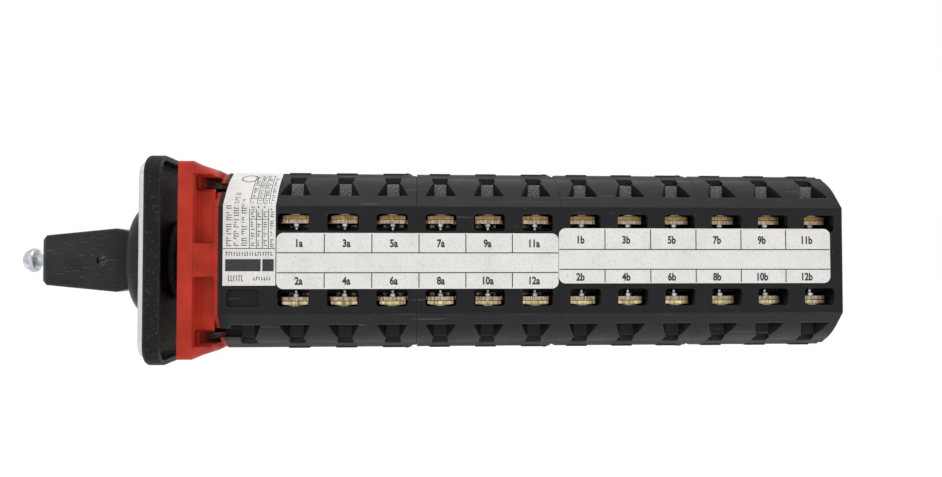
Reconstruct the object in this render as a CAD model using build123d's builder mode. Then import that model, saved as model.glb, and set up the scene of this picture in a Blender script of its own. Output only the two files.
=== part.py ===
from build123d import *
from math import cos, radians, sin
import os

# Rotary isolator switch. X runs along the shaft, from the handle (-X) to the rear (+X).
# -Y is the terminal side and +Z is up. The origin is the middle of the mounting flange's front face.

# Stack of contact chambers
PITCH = 11.5
BLOCK_STARTS = (8.0, 54.0, 88.5, 123.0)
STACK_END = 157.5
LATCH_X = 13.75
CONTACT_XS = (
    (25.25, 36.75, 48.25),
    (59.75, 71.25, 82.75),
    (94.25, 105.75, 117.25),
    (128.75, 140.25, 151.75),
)
CHAMBER_W = 8.4
SEAM, GROOVE_DEPTH = 0.06, 0.5

# Housing section, seen along the shaft
FLAT_Y = 18.2
FLAT_Z = 12.7
TOP_Z = 21.4

# Terminals
WINDOW_W, WINDOW_LOW, WINDOW_HIGH = 7.8, 6.6, 11.1
PLATE_W = 6.2
PLATE_LOW, PLATE_T = 8.75, 1.0
CLAMP_LOW, CLAMP_T, CLAMP_BOW = 9.8, 0.8, 0.2
PLATE_FRONT_Y = -14.3
SCREW_Y = -12.6
SCREW_R, SCREW_HEAD_R, SCREW_HEAD_T = 1.4, 2.5, 1.9
SCREW_TIP, DOG_POINT_R, DOG_POINT_END = 7.2, 0.7, 8.0
CONTACT_Z, CONTACT_R = 6.8, 1.0
BRIDGE_OUT, BRIDGE_IN, BRIDGE_REACH, BRIDGE_W = -10.95, -10.15, 7.85, 4.0
BARRIER_Y, BARRIER_T, BARRIER_LOW, BARRIER_HIGH = -11.1, 0.5, 4.2, 7.9

# Funnels over the terminal screws
FUNNEL_FRONT_Y, FUNNEL_REAR_Y = 15.65, 11.1
FUNNEL_FRONT_W, FUNNEL_REAR_W = 7.4, 3.1
FUNNEL_FLOOR = 14.2
SLOT_W, SLOT_Y, SLOT_FLOOR = 3.9, 9.9, 18.5

# Rotor
SHAFT_W = 5.0
HUB_R = 4.5
RUNNING_GAP = 0.06
CAM_LOW, CAM_HIGH, CAM_T = 6.0, 7.8, 4.0
CAM_ROOM_R = 9.4
LIFT = CAM_HIGH - CAM_LOW
FOLLOWER_GAP = 0.3

# Front end
FLANGE_W, FLANGE_T = 45.2, 3.3
FIXING_SPACING, FIXING_R = 36.0, 2.1
FRAME_W, FRAME_T, FRAME_FRONT, FRAME_BACK = 48.0, 1.4, -7.5, -3.5
BUSH_R = 7.98
DIAL_W, DIAL_T = 44.8, 1.3
KNOB_DISC_R, KNOB_DISC_BACK, KNOB_DISC_FRONT = 14.0, -9.1, -15.3
GRIP_BASE_X, GRIP_FRONT_X = -18.8, -36.8
GRIP_BASE_W, GRIP_FRONT_W, NECK_W = 15.5, 12.2, 13.2
TIE_Z, TIE_R = 16.6, 1.6
COLLAR_START, NECK_END = 7.0, BLOCK_STARTS[0]
NECK_ROOM, RECESS_FLOOR = (32.8, 39.2), 17.3
HOOK_W, HOOK_H = 5.2, 2.2
HOOK_SPOTS = [(y, z) for y in (-12.4, 12.4) for z in (-17.2, 17.2)]

os.makedirs("parts", exist_ok=True)


def save(piece, name):
    """Label a finished piece and write its STEP file."""
    piece.part.label = name
    export_step(piece.part, f"parts/{name}.step")


def housing_section(x, inset=0.0):
    """The housing's outline at x: flat sides with a bevel, curved shoulders and a flat top."""
    with BuildSketch(Plane.YZ.offset(x)) as section:
        with BuildLine():
            side = Line((-FLAT_Y, 0), (-FLAT_Y, FLAT_Z))
            bevel = Line(side @ 1, (-15.65, 15.3))
            shoulder = ThreePointArc(bevel @ 1, (-12.5, 18.1), (-8.9, 20.15))
            Polyline(shoulder @ 1, (-7.5, 20.96), (-6.6, TOP_Z), (0, TOP_Z))
            mirror(about=Plane.YZ)
            mirror(about=Plane.XZ)
        make_face()
        if inset:
            offset(amount=-inset, mode=Mode.REPLACE)
    return section.sketch


def block_span(number):
    """The X range of one housing block, a hair short of its neighbour."""
    ends = BLOCK_STARTS[1:] + (STACK_END,)
    return BLOCK_STARTS[number] + SEAM, ends[number] - (SEAM if number < 3 else 0)


def funnel_plan(xs, z):
    """Plan of the screwdriver funnels: wide at the flat side, narrow at the rear wall."""
    front, rear = FUNNEL_FRONT_W / 2, FUNNEL_REAR_W / 2
    with BuildSketch(Plane.XY.offset(z)) as plan:
        for x in xs:
            with BuildLine():
                Polyline(
                    (x - front, -FUNNEL_FRONT_Y), (x + front, -FUNNEL_FRONT_Y),
                    (x + rear, -FUNNEL_REAR_Y), (x - rear, -FUNNEL_REAR_Y), close=True,
                )
            make_face()
        mirror(about=Plane.XZ)
    return plan.sketch


def cut_funnels(xs, pad_xs):
    """Funnels, the dark slot behind each one and the pads between them, on top and below."""
    for side in (1, -1):
        plan = funnel_plan(xs, side * FUNNEL_FLOOR)
        extrude(plan, amount=side * 9.0, mode=Mode.SUBTRACT)
        with BuildSketch(Plane.XY.offset(side * SLOT_FLOOR)) as slots:
            with Locations([(x, y) for x in xs for y in (-SLOT_Y, SLOT_Y)]):
                Rectangle(SLOT_W, 2 * (FUNNEL_REAR_Y - SLOT_Y))
        extrude(slots.sketch, amount=side * 6.0, mode=Mode.SUBTRACT)
        with BuildSketch(Plane.XY.offset(side * (TOP_Z - 0.3))) as pads:
            with Locations([(x, 0) for x in pad_xs]):
                Rectangle(5.1, 13.6)
        extrude(pads.sketch, amount=side * 0.5)


def cut_windows(xs, depth, sign):
    """Rounded windows in one flat side, a pair for each X, sunk to the given depth."""
    middle = (WINDOW_LOW + WINDOW_HIGH) / 2
    with BuildSketch(Plane.XZ.offset(-sign * FLAT_Y)) as openings:
        with Locations([(x, z) for x in xs for z in (middle, -middle)]):
            RectangleRounded(WINDOW_W, WINDOW_HIGH - WINDOW_LOW, 1.0)
    extrude(openings.sketch, amount=sign * depth, mode=Mode.SUBTRACT)


def cut_chambers(xs):
    """Cam room, plunger channel, bridge slot, barrier ribs and screw holes of each contact chamber."""
    for x in xs:
        with BuildSketch(Plane.YZ.offset(x - CHAMBER_W / 2)) as room:
            Circle(CAM_ROOM_R)
            with Locations((-8.2, 0)):
                Rectangle(16.4, 8.4)
        extrude(room.sketch, amount=CHAMBER_W, mode=Mode.SUBTRACT)
        with BuildSketch(Plane.YZ.offset(x - WINDOW_W / 2)) as slot:
            with Locations((-8.9, 0)):
                Rectangle(5.4, 2 * WINDOW_HIGH)
        extrude(slot.sketch, amount=WINDOW_W, mode=Mode.SUBTRACT)
    barrier_z = (BARRIER_LOW + BARRIER_HIGH) / 2
    with BuildSketch(Plane.XZ.offset(-BARRIER_Y)) as barriers:
        with Locations([(x, z) for x in xs for z in (barrier_z, -barrier_z)]):
            Rectangle(WINDOW_W, BARRIER_HIGH - BARRIER_LOW)
    extrude(barriers.sketch, amount=BARRIER_T)
    for side in (1, -1):
        with BuildSketch(Plane.XY.offset(side * (WINDOW_HIGH - 0.3))) as head_rooms:
            with Locations([(x, SCREW_Y) for x in xs]):
                Circle(SCREW_HEAD_R + 0.2)
        extrude(head_rooms.sketch, amount=side * 2.3, mode=Mode.SUBTRACT)
        with BuildSketch(Plane.XY.offset(side * WINDOW_HIGH)) as driver_holes:
            with Locations([(x, SCREW_Y) for x in xs]):
                Circle(1.5)
        extrude(driver_holes.sketch, amount=side * 4.0, mode=Mode.SUBTRACT)


def cut_round(x_start, x_end, radius):
    """A round room or passage along the shaft."""
    with BuildSketch(Plane.YZ.offset(x_start)) as hole:
        Circle(radius)
    extrude(hole.sketch, amount=x_end - x_start, mode=Mode.SUBTRACT)


def cut_tie_holes(x_start, x_end):
    """Two clearance holes for the long tie screws."""
    with BuildSketch(Plane.YZ.offset(x_start)) as holes:
        with Locations((0, TIE_Z), (0, -TIE_Z)):
            Circle(TIE_R + 0.15)
    extrude(holes.sketch, amount=x_end - x_start, mode=Mode.SUBTRACT)


def cut_end_notches(x_end):
    """The top and bottom rails stop a millimetre short of a block's rear end."""
    for side in (1, -1):
        with BuildSketch(Plane.XY.offset(side * (TOP_Z - 0.6))) as notch:
            with Locations((x_end - 0.5, 0)):
                Rectangle(1.0, 15.0)
        extrude(notch.sketch, amount=side * 2.0, mode=Mode.SUBTRACT)


# Housing blocks: the first one also holds the latch chamber, the last one takes the rear cover
for number, xs in enumerate(CONTACT_XS):
    x_start, x_end = block_span(number)
    funnel_xs = ((LATCH_X,) if number == 0 else ()) + xs
    core_start = BLOCK_STARTS[number]
    core_end = x_end + (SEAM if number < 3 else 0)
    with BuildPart() as block:
        extrude(housing_section(x_start), amount=x_end - x_start)
        # the core reaches the neighbour, so that a seam is a groove and not a gap
        extrude(housing_section(core_start, GROOVE_DEPTH), amount=core_end - core_start)
        cut_funnels(funnel_xs, xs)
        cut_windows(xs, 8.0, -1)
        cut_windows(funnel_xs, 2.6, 1)
        cut_chambers(xs)
        cut_round(core_start, core_end, HUB_R + RUNNING_GAP)
        cut_tie_holes(core_start, core_end)
        cut_end_notches(x_end)
        if number == 0:
            with BuildSketch(Plane.YZ.offset(COLLAR_START)) as hooks:
                with Locations(HOOK_SPOTS):
                    Rectangle(HOOK_W, HOOK_H)
            hook_length = x_start - COLLAR_START
            hook_bars = extrude(hooks.sketch, amount=hook_length, mode=Mode.PRIVATE)
            limit_section = housing_section(COLLAR_START, 0.1)
            outer_limit = extrude(limit_section, amount=hook_length, mode=Mode.PRIVATE)
            add(hook_bars & outer_limit)
            cut_windows((LATCH_X,), 1.4, -1)
            cut_round(x_start + 1.5, LATCH_X + 5.4, CAM_ROOM_R)
            with BuildSketch(Plane.YZ.offset(LATCH_X - 2.6)):
                Rectangle(32.0, 5.2)
            extrude(amount=5.2, mode=Mode.SUBTRACT)
        if number == 3:
            extrude(housing_section(STACK_END - 1.6, 2.4), amount=1.6, mode=Mode.SUBTRACT)
    save(block, f"housing_{number + 1}")

# Rear cover, let into the last block
with BuildPart() as rear_cover:
    extrude(housing_section(STACK_END - 1.6, 2.45), amount=1.6)
    cut_tie_holes(STACK_END - 2, STACK_END + 1)
    cut_round(STACK_END - 2, STACK_END + 1, HUB_R + RUNNING_GAP)
save(rear_cover, "rear_cover")

# Long tie screws that hold the stack to the flange, with nuts at the rear
with BuildPart() as tie_screws:
    with BuildSketch(Plane.YZ.offset(1.0)):
        with Locations((0, TIE_Z), (0, -TIE_Z)):
            Circle(2.6)
    extrude(amount=1.6)
    with BuildSketch(Plane.YZ.offset(2.6)):
        with Locations((0, TIE_Z), (0, -TIE_Z)):
            Circle(TIE_R)
    extrude(amount=STACK_END + 3.0 - 2.6)
save(tie_screws, "tie_screws")

with BuildPart() as tie_nuts:
    with BuildSketch(Plane.YZ.offset(STACK_END)):
        with Locations((0, TIE_Z), (0, -TIE_Z)):
            RegularPolygon(2.75, 6, major_radius=False)
            Circle(TIE_R + 0.02, mode=Mode.SUBTRACT)
    extrude(amount=2.4)
    chamfer(tie_nuts.edges().filter_by(GeomType.LINE).group_by(Axis.X)[-1], 0.35)
save(tie_nuts, "tie_nuts")

# Red mounting flange with its flared neck and the collar that meets the first block
with BuildPart() as flange:
    with BuildSketch(Plane.YZ):
        RectangleRounded(FLANGE_W, FLANGE_W, 1.0)
    extrude(amount=FLANGE_T)
    with BuildSketch(Plane.YZ.offset(FLANGE_T)):
        RectangleRounded(FLANGE_W - 0.6, FLANGE_W - 0.6, 1.0)
    with BuildSketch(Plane.YZ.offset(COLLAR_START)):
        RectangleRounded(2 * FLAT_Y - 0.6, 2 * TOP_Z, 5.0)
    loft()
    extrude(housing_section(COLLAR_START, 0.25), amount=NECK_END - COLLAR_START)
    # recesses beside the central rib on both flat sides
    for side in (1, -1):
        with BuildSketch(Plane.XZ.offset(side * RECESS_FLOOR)):
            with Locations((FLANGE_T + 1.85, 11.8), (FLANGE_T + 1.85, -11.8)):
                RectangleRounded(3.7, 16.0, 0.4)
        extrude(amount=side * 8.0, mode=Mode.SUBTRACT)
    with BuildSketch(Plane.YZ.offset(FLANGE_T)):
        Rectangle(*NECK_ROOM)
    extrude(amount=COLLAR_START - FLANGE_T, mode=Mode.SUBTRACT)
    extrude(housing_section(COLLAR_START, 2.0), amount=NECK_END - COLLAR_START, mode=Mode.SUBTRACT)
    # notches where the first block's hooks engage
    with BuildSketch(Plane.YZ.offset(COLLAR_START - 0.2)):
        with Locations(HOOK_SPOTS):
            Rectangle(HOOK_W + 0.2, HOOK_H + 0.2)
    extrude(amount=NECK_END - COLLAR_START + 0.2, mode=Mode.SUBTRACT)
    with BuildSketch(Plane.YZ):
        with GridLocations(FIXING_SPACING, FIXING_SPACING, 2, 2):
            Circle(FIXING_R)
    extrude(amount=FLANGE_T + 5.0, mode=Mode.SUBTRACT)
    cut_round(-1.0, NECK_END + 1.0, BUSH_R + 0.02)
    with BuildSketch(Plane.YZ.offset(-0.5)):
        with Locations((0, TIE_Z), (0, -TIE_Z)):
            Circle(2.8)
    extrude(amount=3.1, mode=Mode.SUBTRACT)
    cut_tie_holes(0.0, NECK_END + 1.0)
save(flange, "mounting_flange")

# Bush that centres the frame and carries the front of the rotor
with BuildPart() as front_bush:
    with BuildSketch(Plane.YZ.offset(FRAME_FRONT + FRAME_T)):
        Circle(BUSH_R)
        Circle(HUB_R + RUNNING_GAP, mode=Mode.SUBTRACT)
    extrude(amount=NECK_END - FRAME_FRONT - FRAME_T)
save(front_bush, "front_bush")

# Rubber ring around the bush, between frame and panel
with BuildPart() as panel_seal:
    with BuildSketch(Plane.XY) as seal_ring:
        with Locations((FRAME_FRONT + 2.3, 9.0)):
            Circle(0.9)
    revolve(axis=Axis.X)
save(panel_seal, "panel_seal")

# Front frame: a square tray, open to the back
with BuildPart() as frame:
    with BuildSketch(Plane.YZ.offset(FRAME_FRONT)):
        RectangleRounded(FRAME_W, FRAME_W, 4.5)
    extrude(amount=FRAME_BACK - FRAME_FRONT)
    fillet(frame.edges().group_by(Axis.X)[0], 1.2)
    with BuildSketch(Plane.YZ.offset(FRAME_FRONT + FRAME_T)):
        RectangleRounded(FRAME_W - 2.4, FRAME_W - 2.4, 3.3)
    extrude(amount=4.0, mode=Mode.SUBTRACT)
    cut_round(FRAME_FRONT - 1.0, FRAME_FRONT + 3.0, 5.6)
save(frame, "front_frame")

# Dial plate, bright sheet over the frame
with BuildPart() as dial:
    with BuildSketch(Plane.YZ.offset(FRAME_FRONT - DIAL_T)):
        RectangleRounded(DIAL_W, DIAL_W, 4.0)
        Circle(5.6, mode=Mode.SUBTRACT)
    extrude(amount=DIAL_T)
    fillet(dial.edges().group_by(Axis.X)[0].filter_by(GeomType.LINE), 0.5)
save(dial, "dial_plate")

# Handle: a domed disc, a necked-in root and a square grip that tapers to the front
with BuildPart() as handle:
    with BuildSketch(Plane.YZ.offset(KNOB_DISC_FRONT)):
        Circle(KNOB_DISC_R)
    extrude(amount=KNOB_DISC_BACK - KNOB_DISC_FRONT)
    fillet(handle.edges().group_by(Axis.X)[0], 3.4)
    with BuildSketch(Plane.YZ.offset(KNOB_DISC_FRONT + 1.5)):
        RectangleRounded(NECK_W, NECK_W, 0.8)
    with BuildSketch(Plane.YZ.offset(GRIP_BASE_X)):
        RectangleRounded(GRIP_BASE_W, GRIP_BASE_W, 0.8)
    loft()
    with BuildSketch(Plane.YZ.offset(GRIP_BASE_X)):
        RectangleRounded(GRIP_BASE_W, GRIP_BASE_W, 0.8)
    with BuildSketch(Plane.YZ.offset(GRIP_FRONT_X + 0.9)):
        RectangleRounded(GRIP_FRONT_W, GRIP_FRONT_W, 0.8)
    loft()
    with BuildSketch(Plane.YZ.offset(GRIP_FRONT_X + 0.9)):
        RectangleRounded(GRIP_FRONT_W, GRIP_FRONT_W, 0.8)
    with BuildSketch(Plane.YZ.offset(GRIP_FRONT_X)):
        RectangleRounded(GRIP_FRONT_W - 1.4, GRIP_FRONT_W - 1.4, 0.8)
    loft()
    with BuildSketch(Plane.YZ.offset(-27.2)):
        Rectangle(SHAFT_W + 0.04, SHAFT_W + 0.04)
    extrude(amount=20.0, mode=Mode.SUBTRACT)
    cut_round(-38.0, -27.0, 1.6)
    with BuildSketch(Plane.XZ.offset(SHAFT_W / 2)):
        with Locations((-22.4, 0)):
            Circle(1.2)
    extrude(amount=8.0, mode=Mode.SUBTRACT)
save(handle, "handle")

# Grub screw that grips the shaft, with a slot in its end
with BuildPart() as grub_screw:
    with BuildSketch(Plane.XZ.offset(SHAFT_W / 2)):
        with Locations((-22.4, 0)):
            Circle(1.18)
    extrude(amount=4.0)
    with BuildSketch(Plane.XZ.offset(SHAFT_W / 2 + 3.2)):
        with Locations((-22.4, 0)):
            Rectangle(3.0, 0.5, rotation=25)
    extrude(amount=1.0, mode=Mode.SUBTRACT)
save(grub_screw, "handle_grub_screw")

# Handle screw, backed out of the shaft's end so that its pan head stands proud
with BuildPart() as handle_screw:
    with BuildSketch(Plane.YZ.offset(-40.5)):
        Circle(1.5)
    extrude(amount=18.5)
    with BuildSketch(Plane.XY) as head_half:
        with BuildLine():
            underside = Line((-40.5, 0), (-40.5, 2.75))
            rim = ThreePointArc(underside @ 1, (-41.3, 3.0), (-42.1, 2.7))
            ThreePointArc(rim @ 1, (-43.35, 1.6), (-43.7, 0))
            Line((-43.7, 0), (-40.5, 0))
        make_face()
    revolve(axis=Axis.X)
    with BuildSketch(Plane.YZ.offset(-43.8)):
        Rectangle(3.4, 0.7)
        Rectangle(0.7, 3.4)
    extrude(amount=1.5, mode=Mode.SUBTRACT)
save(handle_screw, "handle_screw")

# Square steel shaft with a tapped front end
with BuildPart() as shaft:
    with BuildSketch(Plane.YZ.offset(-27.0)):
        Rectangle(SHAFT_W, SHAFT_W)
    extrude(amount=STACK_END - 0.4 + 27.0)
    chamfer(shaft.edges().filter_by(Axis.X, reverse=True), 0.3)
    cut_round(-28.0, -16.0, 1.55)
save(shaft, "shaft")


def square_hole(x_start, x_end):
    """The square hole that keys a rotor piece to the shaft."""
    with BuildSketch(Plane.YZ.offset(x_start)) as key_hole:
        Rectangle(SHAFT_W + 0.04, SHAFT_W + 0.04)
    extrude(key_hole.sketch, amount=x_end - x_start, mode=Mode.SUBTRACT)


# Latch wheel: four valleys a quarter turn apart, a lug for the end stops and a long front hub
WHEEL_PEAK, WHEEL_VALLEY = 8.2, 7.2
with BuildPart() as latch_wheel:
    with BuildSketch(Plane.YZ.offset(LATCH_X - 2.2)):
        Circle(WHEEL_PEAK)
        with PolarLocations(WHEEL_VALLEY + 2.4, 4):
            Circle(2.4, mode=Mode.SUBTRACT)
    extrude(amount=4.4)
    with BuildSketch(Plane.YZ.offset(FRAME_FRONT + FRAME_T)):
        Circle(HUB_R)
    extrude(amount=LATCH_X + PITCH / 2 - 0.1 - FRAME_FRONT - FRAME_T)
    with BuildSketch(Plane.YZ.offset(LATCH_X + 2.2)):
        with Locations((0, -6.0)):
            Rectangle(2.0, 2.0)
    extrude(amount=1.8)
    square_hole(FRAME_FRONT, LATCH_X + PITCH)
save(latch_wheel, "latch_wheel")

# Stop plate: its cut-out lets the lug of the latch wheel turn by a quarter turn
with BuildPart() as stop_plate:
    with BuildSketch(Plane.YZ.offset(LATCH_X + 2.6)):
        Circle(CAM_ROOM_R - 0.02)
        Circle(HUB_R + 0.3, mode=Mode.SUBTRACT)
        with BuildSketch(mode=Mode.PRIVATE) as sweep_room:
            Circle(7.6)
            Circle(HUB_R, mode=Mode.SUBTRACT)
            with BuildSketch(mode=Mode.PRIVATE) as wedge:
                with BuildLine():
                    Polyline(
                        (0, 0), (-20 * sin(radians(14)), -20 * cos(radians(14))), (20, -20),
                        (20 * cos(radians(14)), 20 * sin(radians(14))), close=True,
                    )
                make_face()
            add(wedge.sketch, mode=Mode.INTERSECT)
        add(sweep_room.sketch, mode=Mode.SUBTRACT)
    extrude(amount=1.6)
save(stop_plate, "stop_plate")

# Latch followers, one on each side, and their springs
FOLLOWER_TIP_R, FOLLOWER_TIP_HALF_W, FOLLOWER_BODY = 1.5, 0.9, 3.2
FOLLOWER_REST = WHEEL_PEAK + 0.2


def coil_spring(outer_r, wire_r, length, turns, plane):
    """A helical compression spring along the plane's normal."""
    with BuildPart() as coil:
        with BuildLine() as centre_line:
            Helix(pitch=length / turns, height=length, radius=outer_r - wire_r)
        with BuildSketch(Plane(origin=centre_line.line @ 0, z_dir=centre_line.line % 0)):
            Circle(wire_r)
        sweep(is_frenet=True)
    return plane * coil.part


for name, side in (("near", -1), ("far", 1)):
    with BuildPart() as follower:
        with BuildSketch(Plane.XY):
            with Locations((LATCH_X, side * (FOLLOWER_REST + FOLLOWER_TIP_R))):
                Circle(FOLLOWER_TIP_R)
        extrude(amount=FOLLOWER_TIP_HALF_W, both=True)
        with BuildSketch(Plane.XY):
            with Locations((LATCH_X, side * (FOLLOWER_REST + FOLLOWER_TIP_R + FOLLOWER_BODY / 2))):
                Rectangle(2 * FOLLOWER_TIP_R, FOLLOWER_BODY)
        extrude(amount=2.3, both=True)
    save(follower, f"latch_follower_{name}")

with BuildPart() as latch_springs:
    for side in (-1, 1):
        seat = Plane(origin=(LATCH_X, side * (FOLLOWER_REST + 5.0), 0), z_dir=(0, side, 0))
        add(coil_spring(1.6, 0.22, 2.1, 3, seat))
save(latch_springs, "latch_springs")


def cam_radius(angle):
    """Cam radius in mm at an angle in degrees from +Y: one quarter-turn spiral ramp."""
    if angle < 90 or angle >= 235:
        return CAM_LOW
    if angle <= 180:
        return CAM_LOW + LIFT * (angle - 90) / 90
    if angle <= 190:
        return CAM_HIGH
    return CAM_HIGH - LIFT * (angle - 190) / 45


def cam_point(angle):
    """Point of the cam's outline at an angle."""
    radius = cam_radius(angle)
    return radius * cos(radians(angle)), radius * sin(radians(angle))


def cam_outline(x):
    """The cam's outline at x: the spiral ramp, the crest, the run-down and the round base."""
    with BuildSketch(Plane.YZ.offset(x)) as outline:
        with BuildLine():
            ramp = Spline(*[cam_point(angle) for angle in range(90, 181, 15)])
            ThreePointArc(ramp @ 1, cam_point(185), cam_point(190))
            run_down = Spline(*[cam_point(angle) for angle in range(190, 236, 15)])
            ThreePointArc(run_down @ 1, cam_point(320), ramp @ 0)
        make_face()
    return outline.sketch


PLUNGER_TIP_R, PLUNGER_TIP_HALF_W = 0.8, 1.2
PLUNGER_TIP_Y = -(CAM_HIGH + FOLLOWER_GAP)
PLUNGER_IN, PLUNGER_OUT = -9.6, -13.4
for number, xs in enumerate(CONTACT_XS):
    # Cams, each with a hub that turns in the chamber walls
    with BuildPart() as cams:
        for x in xs:
            last = x == CONTACT_XS[3][2]
            hub_end = STACK_END - 0.4 if last else x + PITCH / 2 - 0.1
            extrude(cam_outline(x - CAM_T / 2), amount=CAM_T)
            with BuildSketch(Plane.YZ.offset(x - PITCH / 2 + 0.1)):
                Circle(HUB_R)
            extrude(amount=hub_end - x + PITCH / 2 - 0.1)
        square_hole(xs[0] - PITCH, xs[2] + PITCH)
    save(cams, f"cams_{number + 1}")

    # Plungers that ride on the cams and carry the contact bridges
    with BuildPart() as plungers:
        for x in xs:
            with BuildSketch(Plane.XY):
                with Locations((x, PLUNGER_TIP_Y - PLUNGER_TIP_R)):
                    Circle(PLUNGER_TIP_R)
                with Locations((x, (PLUNGER_TIP_Y - PLUNGER_TIP_R + PLUNGER_IN) / 2)):
                    Rectangle(2 * PLUNGER_TIP_R, PLUNGER_TIP_Y - PLUNGER_TIP_R - PLUNGER_IN + 0.2)
            extrude(amount=PLUNGER_TIP_HALF_W, both=True)
            with BuildSketch(Plane.XY):
                with Locations((x, (PLUNGER_IN + PLUNGER_OUT) / 2)):
                    Rectangle(5.6, PLUNGER_IN - PLUNGER_OUT)
            extrude(amount=2.6, both=True)
            with BuildSketch(Plane.XY):
                with Locations((x, (BRIDGE_OUT + BRIDGE_IN) / 2)):
                    Rectangle(BRIDGE_W + 0.04, BRIDGE_IN - BRIDGE_OUT + 0.04)
            extrude(amount=5.0, both=True, mode=Mode.SUBTRACT)
    save(plungers, f"plungers_{number + 1}")

    # Contact bridges with silver tips at both ends
    with BuildPart() as bridges:
        for x in xs:
            with BuildSketch(Plane.XY):
                with Locations((x, (BRIDGE_OUT + BRIDGE_IN) / 2)):
                    Rectangle(BRIDGE_W, BRIDGE_IN - BRIDGE_OUT)
            extrude(amount=BRIDGE_REACH, both=True)
            with BuildSketch(Plane.XZ.offset(-BRIDGE_IN)):
                with Locations((x, CONTACT_Z), (x, -CONTACT_Z)):
                    Circle(CONTACT_R)
            extrude(amount=-0.5)
    save(bridges, f"contact_bridges_{number + 1}")

    # Springs behind the plungers
    with BuildPart() as springs:
        for x in xs:
            seat = Plane(origin=(x, -13.75, 0), z_dir=(0, -1, 0))
            add(coil_spring(1.9, 0.25, 2.2, 3, seat))
    save(springs, f"contact_springs_{number + 1}")

    # Fixed contacts: a flat terminal end and a leg turned in towards the shaft
    with BuildPart() as fixed:
        for side in (1, -1):
            for x in xs:
                base = Plane.XY.offset(side * PLATE_LOW)
                with BuildSketch(base):
                    with Locations((x, (PLATE_FRONT_Y - 10.9) / 2)):
                        Rectangle(PLATE_W, -PLATE_FRONT_Y - 10.9)
                    with Locations((x, -8.8)):
                        Rectangle(WINDOW_W - 0.04, 4.8)
                    with Locations((x, SCREW_Y)):
                        Circle(SCREW_R + 0.1, mode=Mode.SUBTRACT)
                extrude(amount=side * PLATE_T)
                with BuildSketch(base):
                    with Locations((x, -6.7)):
                        Rectangle(5.0, 0.8)
                extrude(amount=-side * 3.0)
                with BuildSketch(Plane.XZ.offset(7.1)):
                    with Locations((x, side * CONTACT_Z)):
                        Circle(CONTACT_R)
                extrude(amount=0.6)
    save(fixed, f"fixed_contacts_{number + 1}")

    # Brass clamp plates, slightly bowed
    with BuildPart() as clamps:
        for side in (1, -1):
            for x in xs:
                half = PLATE_W / 2 + 0.05
                low, high = side * CLAMP_LOW, side * (CLAMP_LOW + CLAMP_T)
                bow = side * CLAMP_BOW
                with BuildSketch(Plane.XZ.offset(-PLATE_FRONT_Y)):
                    with BuildLine():
                        under = ThreePointArc((x - half, low), (x, low + bow * 0.2), (x + half, low))
                        right = Line(under @ 1, (x + half, high))
                        over = ThreePointArc(right @ 1, (x, high + bow), (x - half, high))
                        Line(over @ 1, under @ 0)
                    make_face()
                extrude(amount=-4.0)
        with BuildSketch(Plane.XY.offset(-15.0)):
            with Locations([(x, SCREW_Y) for x in xs]):
                Circle(SCREW_R + 0.1)
        extrude(amount=30.0, mode=Mode.SUBTRACT)
    save(clamps, f"clamp_plates_{number + 1}")

    # Terminal screws with slotted heads
    with BuildPart() as screws:
        head_low = CLAMP_LOW + CLAMP_T + CLAMP_BOW
        for side in (1, -1):
            with BuildSketch(Plane.XY.offset(side * SCREW_TIP)):
                with Locations([(x, SCREW_Y) for x in xs]):
                    Circle(DOG_POINT_R)
            extrude(amount=side * (DOG_POINT_END - SCREW_TIP))
            with BuildSketch(Plane.XY.offset(side * DOG_POINT_END)):
                with Locations([(x, SCREW_Y) for x in xs]):
                    Circle(SCREW_R)
            extrude(amount=side * (head_low - DOG_POINT_END))
            with BuildSketch(Plane.XY.offset(side * head_low)):
                with Locations([(x, SCREW_Y) for x in xs]):
                    Circle(SCREW_HEAD_R)
            extrude(amount=side * SCREW_HEAD_T)
            with BuildSketch(Plane.XY.offset(side * (head_low + SCREW_HEAD_T - 0.7))):
                with Locations([(x, SCREW_Y) for x in xs]):
                    Rectangle(2 * SCREW_HEAD_R + 1, 0.7)
            extrude(amount=side * 1.0, mode=Mode.SUBTRACT)
    save(screws, f"terminal_screws_{number + 1}")

# Paper labels on the near flat side
LABEL_T = 0.12
LABELS = {
    "terminal_label_a": (21.4, 87.7, -6.75, 6.35),
    "terminal_label_b": (87.8, 154.4, -5.55, 6.5),
}
for name, (x_low, x_high, z_low, z_high) in LABELS.items():
    with BuildPart() as label:
        with BuildSketch(Plane.XZ.offset(FLAT_Y)):
            with Locations(((x_low + x_high) / 2, (z_low + z_high) / 2)):
                RectangleRounded(x_high - x_low, z_high - z_low, 1.6)
        extrude(amount=LABEL_T)
    save(label, name)

# Rating label, wrapped from the near flat side over the shoulder onto the top
RATING_LOW, RATING_START, RATING_END = -5.95, 9.1, 21.2
with BuildPart() as rating_label:
    skin = housing_section(RATING_START, -LABEL_T)
    extrude(skin, amount=RATING_END - RATING_START)
    extrude(housing_section(RATING_START), amount=RATING_END - RATING_START, mode=Mode.SUBTRACT)
    with BuildSketch(Plane.YZ.offset(RATING_START)) as kept:
        with Locations((-13.0, RATING_LOW + 15.0)):
            Rectangle(20.0, 30.0)
    extrude(kept.sketch, amount=RATING_END - RATING_START, mode=Mode.INTERSECT)
save(rating_label, "rating_label")
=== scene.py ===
"""Rotary isolator switch: finishes, printed labels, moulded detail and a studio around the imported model.

The frame holds the working model: housings, front end, handle and terminals. This file gives each of its
nodes a finish and adds what is too fine for it: lips round the windows, scored guide faces, locking bumps,
labels with their printing and the dial's marks. Lengths are in millimetres and become metres where a mesh is
built.
"""

import math

import bmesh
import bpy
import numpy as np
from mathutils import Matrix, Vector


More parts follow.
